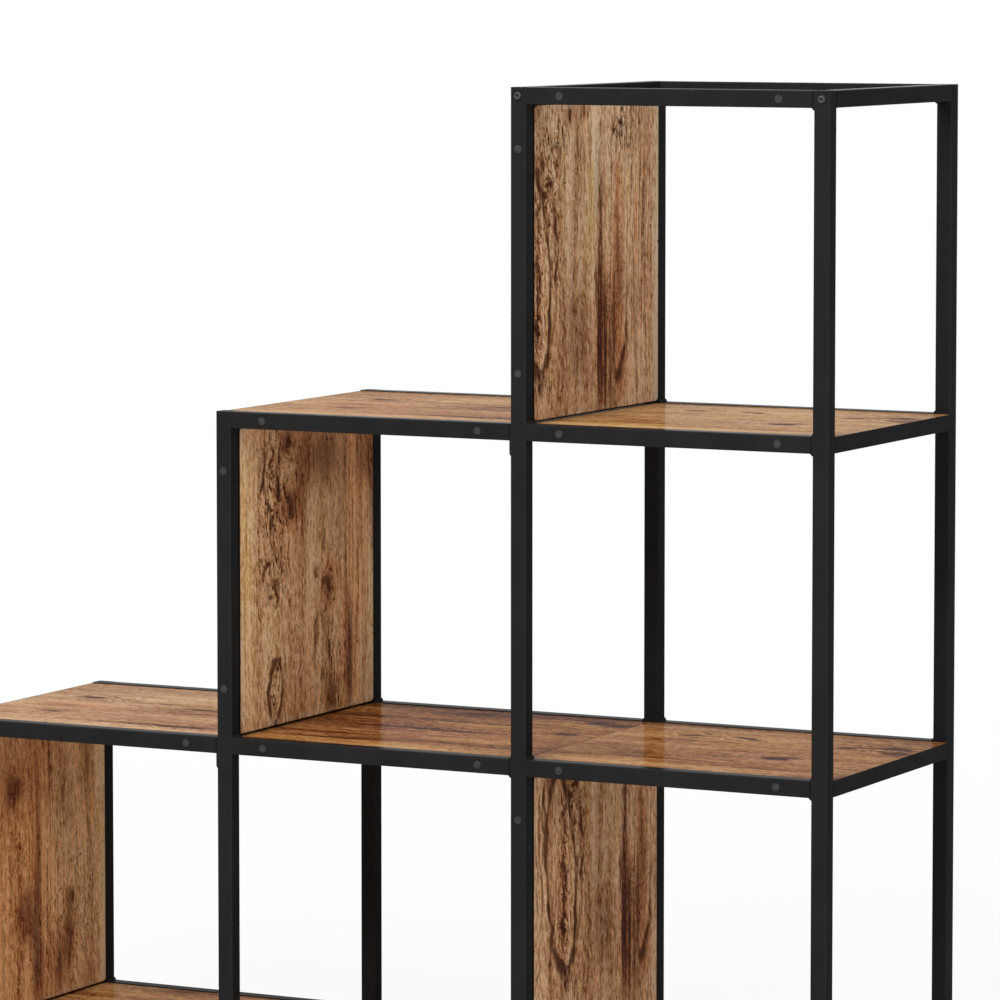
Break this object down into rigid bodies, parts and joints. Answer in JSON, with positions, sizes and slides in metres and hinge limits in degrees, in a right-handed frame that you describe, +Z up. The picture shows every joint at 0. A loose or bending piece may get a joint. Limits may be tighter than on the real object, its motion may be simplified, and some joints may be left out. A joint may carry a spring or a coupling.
{
  "type": "shelving unit",
  "caption": "Stair-step shelving unit with a square steel tube frame, wooden shelf boards and side panels, and an open frame on top.",
  "frame": {"origin": "on the floor, under the middle of the unit's bounding box", "axes": "+X to the viewer's right along the width, towards the tallest column; +Y from the front to the back; +Z up"},
  "size_m": [1.199, 0.3884, 1.206],
  "materials": {
    "black_steel": "satin black powder coat",
    "wood": "rustic oiled wood with knots and cracks",
    "grey_cap": "matt dark grey",
    "dark_zinc": "dark zinc",
    "black_plastic": "matt black"
  },
  "bodies": {
    "root": {"base_edge_angle_left": "black_steel", "base_edge_angle_right": "black_steel", "base_shelf_left": "wood", "base_shelf_middle": "wood", "base_shelf_right": "wood", "floor_glides": "black_plastic", "front_base_rail_left": "black_steel", "front_base_rail_middle": "black_steel", "front_base_rail_right": "black_steel", "front_lower_rail_left": "black_steel", "front_lower_rail_middle": "black_steel", "front_lower_rail_right": "black_steel", "front_post_1": "black_steel", "front_post_2": "black_steel", "front_post_3": "black_steel", "front_post_4": "black_steel", "front_post_screw_caps": "grey_cap", "front_rail_end_plates": "black_steel", "front_rail_screw_caps": "grey_cap", "front_top_rail_right": "black_steel", "front_upper_rail_middle": "black_steel", "front_upper_rail_right": "black_steel", "joining_plates": "black_steel", "joining_screws": "dark_zinc", "left_side_panel": "wood", "lower_edge_angle_left": "black_steel", "lower_edge_angle_right": "black_steel", "lower_shelf_left": "wood", "lower_shelf_middle": "wood", "lower_shelf_right": "wood", "middle_side_panel": "wood", "post_end_caps": "black_plastic", "rear_base_rail_left": "black_steel", "rear_base_rail_middle": "black_steel", "rear_base_rail_right": "black_steel", "rear_lower_rail_left": "black_steel", "rear_lower_rail_middle": "black_steel", "rear_lower_rail_right": "black_steel", "rear_post_1": "black_steel", "rear_post_2": "black_steel", "rear_post_3": "black_steel", "rear_post_4": "black_steel", "rear_post_screw_caps": "grey_cap", "rear_rail_end_plates": "black_steel", "rear_rail_screw_caps": "grey_cap", "rear_top_rail_right": "black_steel", "rear_upper_rail_middle": "black_steel", "rear_upper_rail_right": "black_steel", "right_base_side_panel": "wood", "top_frame_bolts": "dark_zinc", "top_side_panel": "wood", "top_side_rail_left": "black_steel", "top_side_rail_plates": "black_steel", "top_side_rail_right": "black_steel", "upper_edge_angle_left": "black_steel", "upper_edge_angle_right": "black_steel", "upper_shelf_middle": "wood", "upper_shelf_right": "wood"}
  },
  "joints": []
}
